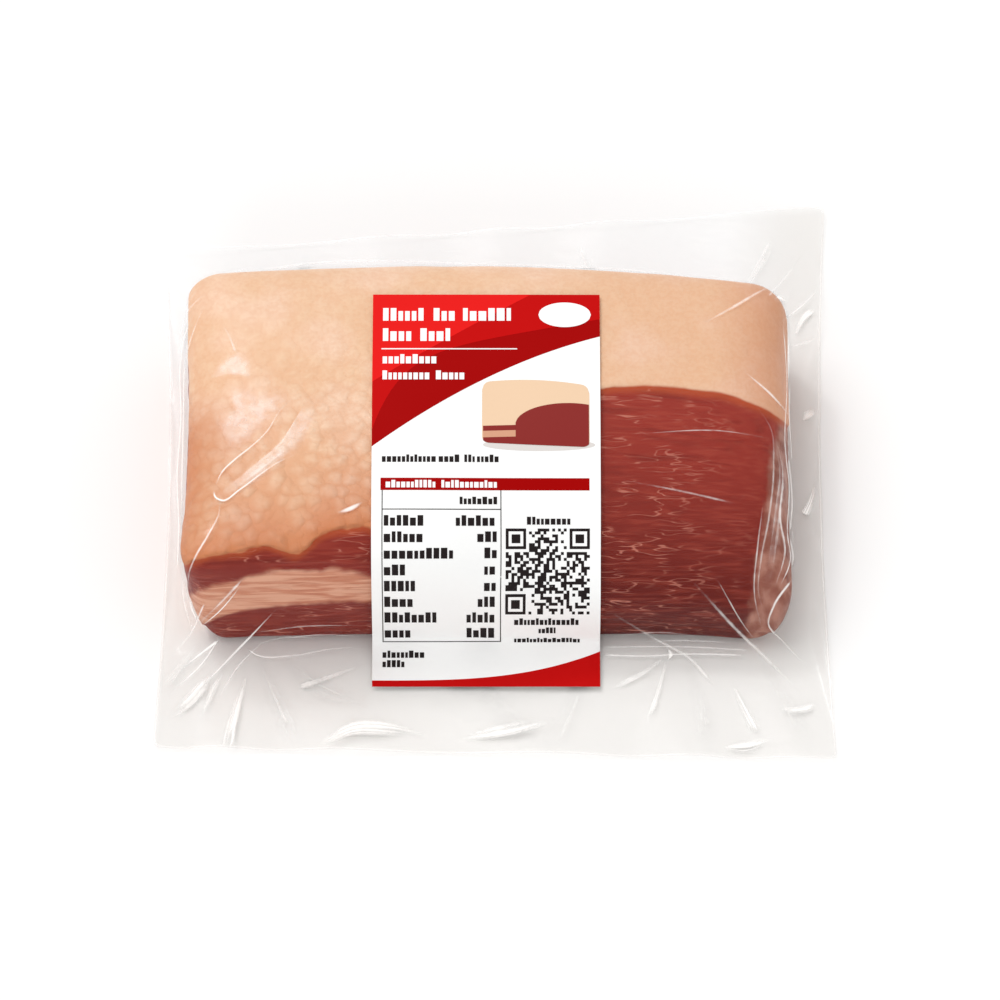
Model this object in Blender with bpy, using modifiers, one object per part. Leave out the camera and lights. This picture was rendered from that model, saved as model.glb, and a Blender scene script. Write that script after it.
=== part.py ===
"""A vacuum-packed slab of pork belly: the sealed clear pouch as one solid, and the paper label stuck on it.

Metres, +Z up. X runs along the slab, -Y is its front, where the cut face and the label's foot are. The origin
is at the middle of the pouch's plan, on the plane that the pack lies on.
"""

import math

import bmesh
import bpy
from mathutils import Matrix, Vector

MM = 0.001

# Driving dimensions of the slab of meat, with the film that clings to it.
SLAB_HALF_LENGTH = 97.0 * MM
SLAB_HALF_DEPTH = 59.0 * MM
SLAB_HEIGHT = 51.5 * MM
SLAB_CORNER = 9.0 * MM
SLAB_CENTRE = Vector((-1.5 * MM, -3.2 * MM))

# The pouch: its plan after sealing, and the two sheets welded into a margin round the slab.
POUCH_HALF_WIDTH = 106.0 * MM
POUCH_HALF_LENGTH = 106.5 * MM
POUCH_CORNER = 12.0 * MM
POUCH_SQUARENESS = 12.0
BACK_LEFT_PULL = 17.5 * MM
FRONT_LEFT_PULL = 4.5 * MM
SIDE_PULL = 3.0 * MM
MARGIN_THICKNESS = 0.7 * MM

# The domed top, and how square each flank's section is, more so at the slab's corners.
DOME_PEAK_X = -32.0 * MM
DOME_DROP_X = 0.095
DOME_DROP_Y = 0.045
FLANK_SQUARENESS = 8.5
CORNER_SQUARENESS = 18.0
RIGHT_BATTER = 4.0 * MM
RIGHT_UNDERCUT = 8.0 * MM
LEFT_UNDERCUT = 7.0 * MM
BACK_BOW = 5.5 * MM
FRONT_HOLLOW = 2.0 * MM

# The bare muscle at the front right: it falls away to the front from an arc, which is half an ellipse.
MUSCLE_MIDDLE_X = 50.0 * MM
MUSCLE_HALF_LENGTH = 80.0 * MM
MUSCLE_FROM_Y = -62.0 * MM
MUSCLE_TO_Y = 0.0
MUSCLE_DROP = 0.42
MUSCLE_FADE_X = (-34.0 * MM, 34.0 * MM)

# The film leaves the flank at this height and meets the margin this far from the slab's foot, or at most this
# share of the way to the pouch's edge. The sole is flat out to its own share of the slab's foot.
BRIDGE_HEIGHT = 13.0 * MM
BRIDGE_REACH = 9.0 * MM
BRIDGE_FOOT = 1.2 * MM
BRIDGE_MOST_SHARE = 0.55
BRIDGE_SAG = 0.75
SOLE_SHARE = 0.9

# Ripples of the margin.
RIPPLE_HEIGHT = 1.6 * MM
RIPPLE_LENGTH = 46.0 * MM
RIPPLE_WANDER = 1.4

# The label, in the plane that it is laid on from: its middle, size and slope.
LABEL_WIDTH = 71.0 * MM
LABEL_SEEN_LENGTH = 122.4 * MM
LABEL_MIDDLE_X = -2.7 * MM
LABEL_MIDDLE_ALONG = -3.3 * MM
LABEL_SLOPE = math.radians(35.0)
LABEL_THICKNESS = 0.25 * MM
LABEL_GAP = 0.60 * MM

# Mesh fineness.
LONG_SIDE_STEPS = 32
SHORT_SIDE_STEPS = 20
CORNER_STEPS = 8
TOP_RINGS = 9
FLANK_RINGS = 5
BRIDGE_RINGS = 3
MARGIN_RINGS = 4
LABEL_COLUMNS = 12
LABEL_ROWS = 56


def smooth_step(low, high, value):
    """0 below low, 1 above high, and an even S between them."""
    share = min(1.0, max(0.0, (value - low) / (high - low)))
    return share * share * (3.0 - 2.0 * share)


def outline(half_x, half_y, corner, squareness):
    """Points round a rectangle with superellipse corners, anticlockwise from the front's left end."""
    points = []
    corners = (
        (1, -1, -90.0, LONG_SIDE_STEPS),
        (1, 1, 0.0, SHORT_SIDE_STEPS),
        (-1, 1, 90.0, LONG_SIDE_STEPS),
        (-1, -1, 180.0, SHORT_SIDE_STEPS),
    )
    inner_x, inner_y = half_x - corner, half_y - corner
    previous = Vector((-inner_x, -half_y))
    for sign_x, sign_y, first_angle, side_steps in corners:
        middle = Vector((sign_x * inner_x, sign_y * inner_y))
        arc = []
        for step in range(CORNER_STEPS + 1):
            angle = math.radians(first_angle + 90.0 * step / CORNER_STEPS)
            across, along = math.cos(angle), math.sin(angle)
            spread = abs(across) ** squareness + abs(along) ** squareness
            arc.append(middle + Vector((across, along)) * corner * spread ** (-1.0 / squareness))
        points += [previous.lerp(arc[0], step / side_steps) for step in range(side_steps)]
        points += arc[:-1]
        previous = arc[-1]
    return points


def slab_plan():
    """The slab's foot in plan, about its own centre: the back bowed out and the front a little hollow."""
    bent = []
    for point in outline(SLAB_HALF_LENGTH, SLAB_HALF_DEPTH, SLAB_CORNER, 2.0):
        middle_share = 1.0 - (point.x / SLAB_HALF_LENGTH) ** 2
        shift = BACK_BOW if point.y > 0 else FRONT_HOLLOW
        share = abs(point.y) / SLAB_HALF_DEPTH
        bent.append(Vector((point.x, point.y + (middle_share - 1.0) * shift * share)))
    return bent


def pouch_plan():
    """The pouch's edge in plan. The vacuum draws its sides in, and its left corners towards the slab."""
    edge = []
    for point in outline(POUCH_HALF_WIDTH, POUCH_HALF_LENGTH, POUCH_CORNER, POUCH_SQUARENESS):
        side_share = 1.0 - min(1.0, abs(point.y) / POUCH_HALF_LENGTH) ** 2
        at_side = smooth_step(0.80, 1.0, abs(point.x) / POUCH_HALF_WIDTH)
        x = point.x - math.copysign(SIDE_PULL * side_share * at_side, point.x)
        back_share = smooth_step(0.0, POUCH_HALF_LENGTH, point.y)
        left_share = 0.5 - 0.5 * point.x / POUCH_HALF_WIDTH
        front_share = smooth_step(0.0, POUCH_HALF_LENGTH, -point.y)
        pull = FRONT_LEFT_PULL * front_share - BACK_LEFT_PULL * back_share
        edge.append(Vector((x, point.y + pull * left_share)))
    return edge


def muscle_fall(x, y):
    """The share of the slab's height that is missing over a point in plan, where the muscle falls away."""
    across = max(-1.0, min(1.0, (x - MUSCLE_MIDDLE_X) / MUSCLE_HALF_LENGTH))
    arc_y = MUSCLE_FROM_Y + (MUSCLE_TO_Y - MUSCLE_FROM_Y) * math.sqrt(1.0 - across * across)
    run = max(arc_y - MUSCLE_FROM_Y, 1.0 * MM)
    share = max(0.0, min(1.0, (arc_y - y) / run))
    return MUSCLE_DROP * share**1.8 * smooth_step(*MUSCLE_FADE_X, x)


def slab_point(foot, angle):
    """A point of the slab above a point of its foot, at an angle from 90 degrees, the top's middle, to 0."""
    cornering = abs(foot.x * foot.y) / (SLAB_HALF_LENGTH * SLAB_HALF_DEPTH)
    squareness = FLANK_SQUARENESS + (CORNER_SQUARENESS - FLANK_SQUARENESS) * cornering**4
    out, up = math.cos(angle), math.sin(angle)
    reach = (out**squareness + up**squareness) ** (-1.0 / squareness)
    x, y = foot.x * reach * out, foot.y * reach * out
    share_up = reach * up
    dome = 1.0 - DOME_DROP_X * ((x - DOME_PEAK_X) / SLAB_HALF_LENGTH) ** 2
    dome -= DOME_DROP_Y * (y / SLAB_HALF_DEPTH) ** 2
    at_right = smooth_step(0.70, 1.0, x / SLAB_HALF_LENGTH)
    at_left = smooth_step(0.80, 1.0, -x / SLAB_HALF_LENGTH)
    x -= (RIGHT_BATTER * share_up**2 + RIGHT_UNDERCUT * (1.0 - share_up) ** 2) * at_right
    x += LEFT_UNDERCUT * (1.0 - share_up) ** 2 * at_left
    x, y = x + SLAB_CENTRE.x, y + SLAB_CENTRE.y
    return Vector((x, y, SLAB_HEIGHT * dome * share_up * (1.0 - muscle_fall(x, y))))


def angle_at_height(foot, height):
    """The angle at which the flank is at a height, found by halving."""
    low, high = 0.0, math.radians(60.0)
    for _ in range(40):
        middle = (low + high) / 2.0
        if slab_point(foot, middle).z < height:
            low = middle
        else:
            high = middle
    return high


def ripple(along, out_share):
    """How high the margin lifts off the table: nothing at the slab's foot, most at the pouch's edge."""
    turn = 2.0 * math.pi * along / RIPPLE_LENGTH
    wave = 0.5 + 0.5 * math.sin(turn + RIPPLE_WANDER * math.sin(turn / 3.7))
    return RIPPLE_HEIGHT * wave * smooth_step(0.0, 1.0, out_share)


def slab_rings(feet):
    """Rings over the slab: out to its shoulder, then down the flank to where the film leaves it."""
    middle, shoulder = math.radians(90.0), math.radians(45.0)
    leaves = [angle_at_height(foot, BRIDGE_HEIGHT) for foot in feet]
    rings = []
    for step in range(1, TOP_RINGS + 1):
        angle = middle + (shoulder - middle) * step / TOP_RINGS
        rings.append([slab_point(foot, angle) for foot in feet])
    for step in range(1, FLANK_RINGS + 1):
        share = step / FLANK_RINGS
        angles = [shoulder + (end - shoulder) * share for end in leaves]
        rings.append([slab_point(foot, angle) for foot, angle in zip(feet, angles)])
    return rings


def bridge_rings(flank, feet, edge):
    """Rings of the film between the flank and the margin, which sags in towards the slab's heel."""
    heels, ends = [], []
    for foot, out in zip(feet, edge):
        heel = foot + SLAB_CENTRE
        away = out - heel
        reach = min(BRIDGE_REACH, BRIDGE_MOST_SHARE * away.length)
        heels.append(Vector((heel.x, heel.y, BRIDGE_FOOT)))
        ends.append((heel + away.normalized() * reach).to_3d() + Vector((0.0, 0.0, BRIDGE_FOOT)))
    rings = []
    for step in range(1, BRIDGE_RINGS + 1):
        share = step / BRIDGE_RINGS
        ring = []
        for start, heel, end in zip(flank, heels, ends):
            pull = start.lerp(heel, BRIDGE_SAG)
            ring.append(start.lerp(pull, share).lerp(pull.lerp(end, share), share))
        rings.append(ring)
    return rings


def margin_rings(inner, edge):
    """Rings of the margin's upper face out to the pouch's edge, and those of its lower face."""
    along = [0.0]
    for here, there in zip(edge, edge[1:]):
        along.append(along[-1] + (there - here).length)
    over, under = [], []
    for step in range(1, MARGIN_RINGS + 1):
        share = step / MARGIN_RINGS
        thickness = max(MARGIN_THICKNESS, BRIDGE_FOOT + (MARGIN_THICKNESS - BRIDGE_FOOT) * share)
        above, below = [], []
        for start, out, length in zip(inner, edge, along):
            plan = start.to_2d().lerp(out, share)
            low = ripple(length, share)
            above.append(Vector((plan.x, plan.y, low + thickness)))
            below.append(Vector((plan.x, plan.y, low)))
        over.append(above)
        under.append(below)
    return over, under


def pouch_rings():
    """Closed rings from the top's middle out to the pouch's edge, then back under it to the sole."""
    feet, edge = slab_plan(), pouch_plan()
    over_slab = slab_rings(feet)
    bridge = bridge_rings(over_slab[-1], feet, edge)
    over, under = margin_rings(bridge[-1], edge)
    heels = [Vector((point.x, point.y, 0.0)) for point in bridge[-1]]
    sole = [(SOLE_SHARE * foot + SLAB_CENTRE).to_3d() for foot in feet]
    return over_slab + bridge + over + under[::-1] + [heels, sole]


def join_rings(mesh, rings):
    """Lofts faces between neighbouring rings, and closes the top and the sole with a fan each."""
    loops = [[mesh.verts.new(point) for point in ring] for ring in rings]
    count = len(loops[0])
    for inner, outer in zip(loops, loops[1:]):
        for i in range(count):
            j = (i + 1) % count
            mesh.faces.new((inner[i], outer[i], outer[j], inner[j]))
    crown = mesh.verts.new(slab_point(Vector((0.0, 0.0)), math.pi / 2.0))
    sole = mesh.verts.new((SLAB_CENTRE.x, SLAB_CENTRE.y, 0.0))
    for i in range(count):
        j = (i + 1) % count
        mesh.faces.new((crown, loops[0][i], loops[0][j]))
        mesh.faces.new((sole, loops[-1][j], loops[-1][i]))


def plain_material(name, colour, roughness, alpha=1.0):
    """A Principled material with one colour."""
    material = bpy.data.materials.new(name)
    material.use_nodes = True
    shader = material.node_tree.nodes["Principled BSDF"]
    shader.inputs["Base Color"].default_value = (*colour, 1.0)
    shader.inputs["Roughness"].default_value = roughness
    shader.inputs["Metallic"].default_value = 0.0
    shader.inputs["Alpha"].default_value = alpha
    return material


def build_pouch(collection):
    """The sealed pouch with the slab in it, as one closed solid out to the film."""
    mesh = bmesh.new()
    join_rings(mesh, pouch_rings())
    bmesh.ops.recalc_face_normals(mesh, faces=mesh.faces)
    bmesh.ops.triangulate(mesh, faces=mesh.faces)
    data = bpy.data.meshes.new("vacuum_pouch")
    mesh.to_mesh(data)
    mesh.free()
    data.shade_smooth()
    data.set_sharp_from_angle(angle=math.radians(40.0))
    data.materials.append(plain_material("packed_pork", (0.62, 0.33, 0.22), 0.25))
    pouch = bpy.data.objects.new("vacuum_pouch", data)
    collection.objects.link(pouch)
    return pouch


def build_label(collection, pouch):
    """The paper label: a flat rectangle laid on the pouch from the front and above."""
    bpy.ops.mesh.primitive_grid_add(x_subdivisions=LABEL_COLUMNS, y_subdivisions=LABEL_ROWS, size=1.0)
    label = bpy.context.object
    label.name = label.data.name = "label"
    label.data.transform(Matrix.Diagonal((LABEL_WIDTH, LABEL_SEEN_LENGTH, 1.0, 1.0)))
    label.rotation_euler = (LABEL_SLOPE, 0.0, 0.0)
    lift = 0.12
    label.location = (
        LABEL_MIDDLE_X,
        LABEL_MIDDLE_ALONG * math.cos(LABEL_SLOPE) - lift * math.sin(LABEL_SLOPE),
        LABEL_MIDDLE_ALONG * math.sin(LABEL_SLOPE) + lift * math.cos(LABEL_SLOPE),
    )
    lay = label.modifiers.new("lay", "SHRINKWRAP")
    lay.target = pouch
    lay.wrap_method = "PROJECT"
    lay.wrap_mode = "ABOVE_SURFACE"
    lay.use_project_z = True
    lay.use_negative_direction = True
    lay.use_positive_direction = False
    lay.offset = LABEL_GAP
    thick = label.modifiers.new("thick", "SOLIDIFY")
    thick.thickness = LABEL_THICKNESS
    thick.offset = 1.0
    label.data.materials.append(plain_material("label_paper", (0.92, 0.92, 0.90), 0.55))
    for holder in list(label.users_collection):
        holder.objects.unlink(label)
    collection.objects.link(label)
    return label


def main():
    for obj in list(bpy.data.objects):
        bpy.data.objects.remove(obj)
    collection = bpy.data.collections.new("pork_belly_pack")
    bpy.context.scene.collection.children.link(collection)
    pouch = build_pouch(collection)
    build_label(collection, pouch)


main()
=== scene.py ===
"""How the vacuum-packed slab of pork belly looks: the meat, the clear film that clings to it, and the label.

Metres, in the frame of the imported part: X along the slab, -Y its front, +Z up. Sizes are given in millimetres.
"""

import itertools
import math
import random

import bpy
import numpy as np
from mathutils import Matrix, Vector
from mathutils.bvhtree import BVHTree


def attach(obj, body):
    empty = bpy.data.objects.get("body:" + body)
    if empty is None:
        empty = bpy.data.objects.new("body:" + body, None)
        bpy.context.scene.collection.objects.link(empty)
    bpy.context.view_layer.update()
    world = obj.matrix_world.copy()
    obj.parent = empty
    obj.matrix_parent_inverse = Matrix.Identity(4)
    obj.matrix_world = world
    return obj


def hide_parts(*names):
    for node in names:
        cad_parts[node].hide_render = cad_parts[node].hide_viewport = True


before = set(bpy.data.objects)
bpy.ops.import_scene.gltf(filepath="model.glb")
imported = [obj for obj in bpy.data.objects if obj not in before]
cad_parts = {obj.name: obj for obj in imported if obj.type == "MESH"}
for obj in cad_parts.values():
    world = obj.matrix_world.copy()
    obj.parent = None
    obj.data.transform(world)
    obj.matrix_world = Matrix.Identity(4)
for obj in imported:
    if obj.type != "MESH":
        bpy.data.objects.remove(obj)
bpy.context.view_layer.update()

MM = 0.001

# The direction that the label is laid on from and that the pack is seen from: in front and above.
SEEN_FROM_ELEVATION = math.radians(55.0)
SEEN_RIGHT = np.array((1.0, 0.0, 0.0))
SEEN_UP = np.array((0.0, math.sin(SEEN_FROM_ELEVATION), math.cos(SEEN_FROM_ELEVATION)))
SEEN_OUT = np.array((0.0, -math.cos(SEEN_FROM_ELEVATION), math.sin(SEEN_FROM_ELEVATION)))

# The slab and the pouch, as the CAD model builds them.
SLAB_HALF_LENGTH = 97.0 * MM
SLAB_HALF_DEPTH = 59.0 * MM
SLAB_HEIGHT = 51.5 * MM
SLAB_CORNER = 9.0 * MM
SLAB_CENTRE = np.array((-1.5 * MM, -3.2 * MM))
DOME_PEAK_X = -32.0 * MM
DOME_DROP_X = 0.095
DOME_DROP_Y = 0.045
FLANK_SQUARENESS = 8.5
CORNER_SQUARENESS = 18.0
RIGHT_BATTER = 4.0 * MM
RIGHT_UNDERCUT = 8.0 * MM
LEFT_UNDERCUT = 7.0 * MM
BACK_BOW = 5.5 * MM
FRONT_HOLLOW = 2.0 * MM
MUSCLE_MIDDLE_X = 50.0 * MM
MUSCLE_HALF_LENGTH = 80.0 * MM
MUSCLE_FROM_Y = -62.0 * MM
MUSCLE_TO_Y = 0.0
MUSCLE_DROP = 0.42
MUSCLE_FADE_X = (-34.0 * MM, 34.0 * MM)
POUCH_HALF_WIDTH = 106.0 * MM
POUCH_HALF_LENGTH = 106.5 * MM
POUCH_CORNER = 12.0 * MM
POUCH_SQUARENESS = 12.0
BACK_LEFT_PULL = 17.5 * MM
FRONT_LEFT_PULL = 4.5 * MM
SIDE_PULL = 3.0 * MM
RIPPLE_HEIGHT = 1.6 * MM
RIPPLE_LENGTH = 46.0 * MM
RIPPLE_WANDER = 1.4

LONG_SIDE_STEPS, SHORT_SIDE_STEPS, CORNER_STEPS = 150, 90, 30

# The meat lies this far inside the film, and its lower edge is rounded.
MEAT_INSET = 0.55 * MM
MEAT_FOOT_ROUND = 6.0 * MM
MEAT_CELL = 0.95 * MM
MEAT_LOWEST = 0.30 * MM
BROAD_SWELL = 0.55 * MM

# The label's print is laid out from its top left corner, as seen from the front and above.
LABEL_LEFT, LABEL_TOP = -38.2 * MM, 57.9 * MM
LABEL_WIDTH, LABEL_LENGTH = 71.0 * MM, 122.4 * MM


# ---------------------------------------------------------------- numbers


def smooth(low, high, value):
    """0 at low, 1 at high, and an even S between them."""
    share = np.clip((value - low) / (high - low), 0.0, 1.0)
    return share * share * (3.0 - 2.0 * share)


def lattice(cells, seed):
    """A repeatable number from 0 to 1 for each whole-numbered point."""
    mixed = cells[:, 0] * np.uint32(374761393) + cells[:, 1] * np.uint32(668265263)
    mixed = mixed + cells[:, 2] * np.uint32(2246822519) + np.uint32(seed * 40503 + 977)
    mixed = (mixed ^ (mixed >> np.uint32(13))) * np.uint32(1274126177)
    return (mixed ^ (mixed >> np.uint32(16))).astype(np.float64) / 2.0**32


def noise(points, size, seed=0, octaves=2):
    """Smooth noise from -1 to 1 with features of about this size, which may differ along X, Y and Z."""
    total, weight = np.zeros(len(points)), 0.0
    for octave in range(octaves):
        scaled = points * (2.0**octave) / np.asarray(size)
        base = np.floor(scaled)
        part = scaled - base
        part = part * part * (3.0 - 2.0 * part)
        cells = base.astype(np.int64).astype(np.uint32)
        for corner in itertools.product((0, 1), repeat=3):
            share = np.prod(np.where(corner, part, 1.0 - part), axis=1)
            value = lattice(cells + np.array(corner, np.uint32), seed + 31 * octave)
            total += share * value / 2.0**octave
        weight += 0.5 / 2.0**octave
    return (total - weight) / weight


def curve_through(knots):
    """A function of one number, which runs smoothly through a few (number, value) pairs."""
    xs, ys = np.array(knots, float).T
    slopes = np.gradient(ys, xs)

    def value_at(x):
        x = np.clip(x, xs[0], xs[-1])
        i = np.clip(np.searchsorted(xs, x) - 1, 0, len(xs) - 2)
        width = xs[i + 1] - xs[i]
        t = (x - xs[i]) / width
        rise = t * t * (3.0 - 2.0 * t)
        lean_in = t * (1.0 - t) ** 2 * width * slopes[i]
        lean_out = -t * t * (1.0 - t) * width * slopes[i + 1]
        return ys[i] + (ys[i + 1] - ys[i]) * rise + lean_in + lean_out

    return value_at


# ---------------------------------------------------------------- shapes


def outline(half_x, half_y, corner, squareness):
    """Points round a rectangle with superellipse corners, anticlockwise: as many on each side whatever its size."""
    inner_x, inner_y = half_x - corner, half_y - corner
    corners = (
        (1, -1, -90.0, LONG_SIDE_STEPS),
        (1, 1, 0.0, SHORT_SIDE_STEPS),
        (-1, 1, 90.0, LONG_SIDE_STEPS),
        (-1, -1, 180.0, SHORT_SIDE_STEPS),
    )
    previous = np.array((-inner_x, -half_y))
    pieces = []
    for sign_x, sign_y, first_angle, side_steps in corners:
        angles = np.radians(first_angle + np.linspace(0.0, 90.0, CORNER_STEPS + 1))
        arc = np.stack((np.cos(angles), np.sin(angles)), axis=1)
        spread = (np.abs(arc) ** squareness).sum(axis=1, keepdims=True)
        bend = np.array((sign_x * inner_x, sign_y * inner_y)) + corner * arc * spread ** (-1.0 / squareness)
        shares = np.linspace(0.0, 1.0, side_steps, endpoint=False)[:, None]
        pieces += [previous + (bend[0] - previous) * shares, bend[:-1]]
        previous = bend[-1]
    return np.concatenate(pieces)


def slab_plan(inset=0.0):
    """The slab's foot in plan, about its own centre: the back bowed out and the front a little hollow."""
    half_length, half_depth = SLAB_HALF_LENGTH - inset, SLAB_HALF_DEPTH - inset
    points = outline(half_length, half_depth, SLAB_CORNER, 2.0)
    from_middle = -((points[:, 0] / half_length) ** 2)
    shift = np.where(points[:, 1] > 0, BACK_BOW, FRONT_HOLLOW)
    points[:, 1] += from_middle * shift * np.abs(points[:, 1]) / half_depth
    return points


def pouch_plan():
    """The pouch's edge in plan. The vacuum draws its sides in, and its left corners towards the slab."""
    edge = outline(POUCH_HALF_WIDTH, POUCH_HALF_LENGTH, POUCH_CORNER, POUCH_SQUARENESS)
    x, y = edge.T.copy()
    side_share = 1.0 - np.clip(np.abs(y) / POUCH_HALF_LENGTH, 0, 1) ** 2
    at_side = smooth(0.80, 1.0, np.abs(x) / POUCH_HALF_WIDTH)
    edge[:, 0] = x - np.sign(x) * SIDE_PULL * side_share * at_side
    pull = FRONT_LEFT_PULL * smooth(0.0, POUCH_HALF_LENGTH, -y)
    pull -= BACK_LEFT_PULL * smooth(0.0, POUCH_HALF_LENGTH, y)
    edge[:, 1] = y + pull * (0.5 - 0.5 * x / POUCH_HALF_WIDTH)
    return edge


def muscle_fall(x, y):
    """The share of the slab's height that is missing over a point in plan, where the muscle falls away."""
    across = np.clip((x - MUSCLE_MIDDLE_X) / MUSCLE_HALF_LENGTH, -1.0, 1.0)
    arc_y = MUSCLE_FROM_Y + (MUSCLE_TO_Y - MUSCLE_FROM_Y) * np.sqrt(1.0 - across * across)
    run = np.maximum(arc_y - MUSCLE_FROM_Y, 1.0 * MM)
    share = np.clip((arc_y - y) / run, 0.0, 1.0)
    return MUSCLE_DROP * share**1.8 * smooth(*MUSCLE_FADE_X, x)


def slab_point(feet, out, up, height=SLAB_HEIGHT):
    """Points of the slab over points of its foot: out and up are shares of the way out and of the height."""
    x, y = feet[:, 0] * out, feet[:, 1] * out
    dome = 1.0 - DOME_DROP_X * ((x - DOME_PEAK_X) / SLAB_HALF_LENGTH) ** 2
    dome -= DOME_DROP_Y * (y / SLAB_HALF_DEPTH) ** 2
    at_right = smooth(0.70, 1.0, x / SLAB_HALF_LENGTH)
    at_left = smooth(0.80, 1.0, -x / SLAB_HALF_LENGTH)
    x = x - (RIGHT_BATTER * up**2 + RIGHT_UNDERCUT * (1.0 - up) ** 2) * at_right
    x = x + LEFT_UNDERCUT * (1.0 - up) ** 2 * at_left
    x, y = x + SLAB_CENTRE[0], y + SLAB_CENTRE[1]
    return np.stack((x, y, height * dome * up * (1.0 - muscle_fall(x, y))), axis=1)


def slab_rings(feet, top_rings, flank_shares, height=SLAB_HEIGHT):
    """Rings from near the top's middle, over the edge and down the flank to each share of the shoulder's height."""
    cornering = np.abs(feet[:, 0] * feet[:, 1]) / (SLAB_HALF_LENGTH * SLAB_HALF_DEPTH)
    power = FLANK_SQUARENESS + (CORNER_SQUARENESS - FLANK_SQUARENESS) * cornering**4
    shoulder = 2.0 ** (-1.0 / power)
    rings = []
    for share in np.linspace(0.0, 1.0, top_rings + 1)[1:]:
        out = shoulder * share
        rings.append(slab_point(feet, out, (1.0 - out**power) ** (1.0 / power), height))
    for share in flank_shares:
        up = shoulder * share
        rings.append(slab_point(feet, (1.0 - up**power) ** (1.0 / power), up, height))
    return rings


def ring_mesh(name, rings, centre=None, sole=False):
    """A mesh lofted through closed rings, with a fan at its centre and, if asked, another inside the last ring."""
    rings = np.array(rings)
    levels, count, _ = rings.shape
    points = rings.reshape(-1, 3)
    here = np.arange(count)
    there = (here + 1) % count
    faces = []
    for level in range(levels - 1):
        a, b = level * count, (level + 1) * count
        faces += np.stack((a + here, b + here, b + there, a + there), axis=1).tolist()
    if centre is not None:
        points = np.vstack((points, centre))
        faces += [(len(points) - 1, int(i), int(j)) for i, j in zip(here, there)]
    if sole:
        points = np.vstack((points, rings[-1].mean(axis=0)))
        last = (levels - 1) * count
        faces += [(len(points) - 1, int(last + j), int(last + i)) for i, j in zip(here, there)]
    mesh = bpy.data.meshes.new(name)
    mesh.from_pydata(points.tolist(), [], faces)
    mesh.shade_smooth()
    return mesh


def coordinates(mesh):
    """The mesh's points as an array."""
    flat = np.empty(len(mesh.vertices) * 3, np.float32)
    mesh.vertices.foreach_get("co", flat)
    return flat.reshape(-1, 3).astype(np.float64)


def normals(mesh):
    """The mesh's point normals as an array."""
    flat = np.empty(len(mesh.vertices) * 3, np.float32)
    mesh.vertex_normals.foreach_get("vector", flat)
    return flat.reshape(-1, 3).astype(np.float64)


def set_coordinates(mesh, points):
    """Moves the mesh's points."""
    mesh.vertices.foreach_set("co", points.astype(np.float32).ravel())
    mesh.update()


def set_field(mesh, name, values):
    """Stores one number for each point of the mesh, for a material to read."""
    mesh.attributes.new(name, "FLOAT", "POINT").data.foreach_set("value", values.astype(np.float32))


def add_object(name, mesh, *materials):
    """An object in the scene with these materials."""
    piece = bpy.data.objects.new(name, mesh)
    bpy.context.scene.collection.objects.link(piece)
    for material in materials:
        mesh.materials.append(material)
    return piece


def evaluated_mesh(piece):
    """The object's mesh with its modifiers applied."""
    graph = bpy.context.evaluated_depsgraph_get()
    return bpy.data.meshes.new_from_object(piece.evaluated_get(graph))


def seen(points):
    """Where points are as seen from the front and above: millimetres to the right and up."""
    return points @ SEEN_RIGHT / MM, points @ SEEN_UP / MM


# ---------------------------------------------------------------- materials


def linear(red, green, blue):
    """A linear colour from its 0 to 255 values in sRGB."""
    shares = [value / 255.0 for value in (red, green, blue)]
    return tuple(s / 12.92 if s <= 0.04045 else ((s + 0.055) / 1.055) ** 2.4 for s in shares)


# The rind's last colour is the darker orange of its rim, partly painted shade.
RIND_COLOURS = (linear(238, 200, 166), linear(243, 209, 182), linear(220, 156, 112), linear(200, 120, 76))
# The lean's last colour is the pale of its wavy lines, partly a painted highlight.
# The lean's second colour is its painted shade, low on the front face.
LEAN_COLOURS = (linear(149, 50, 39), linear(88, 22, 17), linear(180, 80, 62), linear(98, 28, 23), linear(220, 142, 122))
FAT_COLOURS = (linear(197, 129, 101), linear(219, 163, 136), linear(182, 108, 84))
SIDE_COLOURS = (linear(142, 86, 72), linear(174, 123, 107))
SEAM_COLOUR = linear(196, 92, 50)


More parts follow.
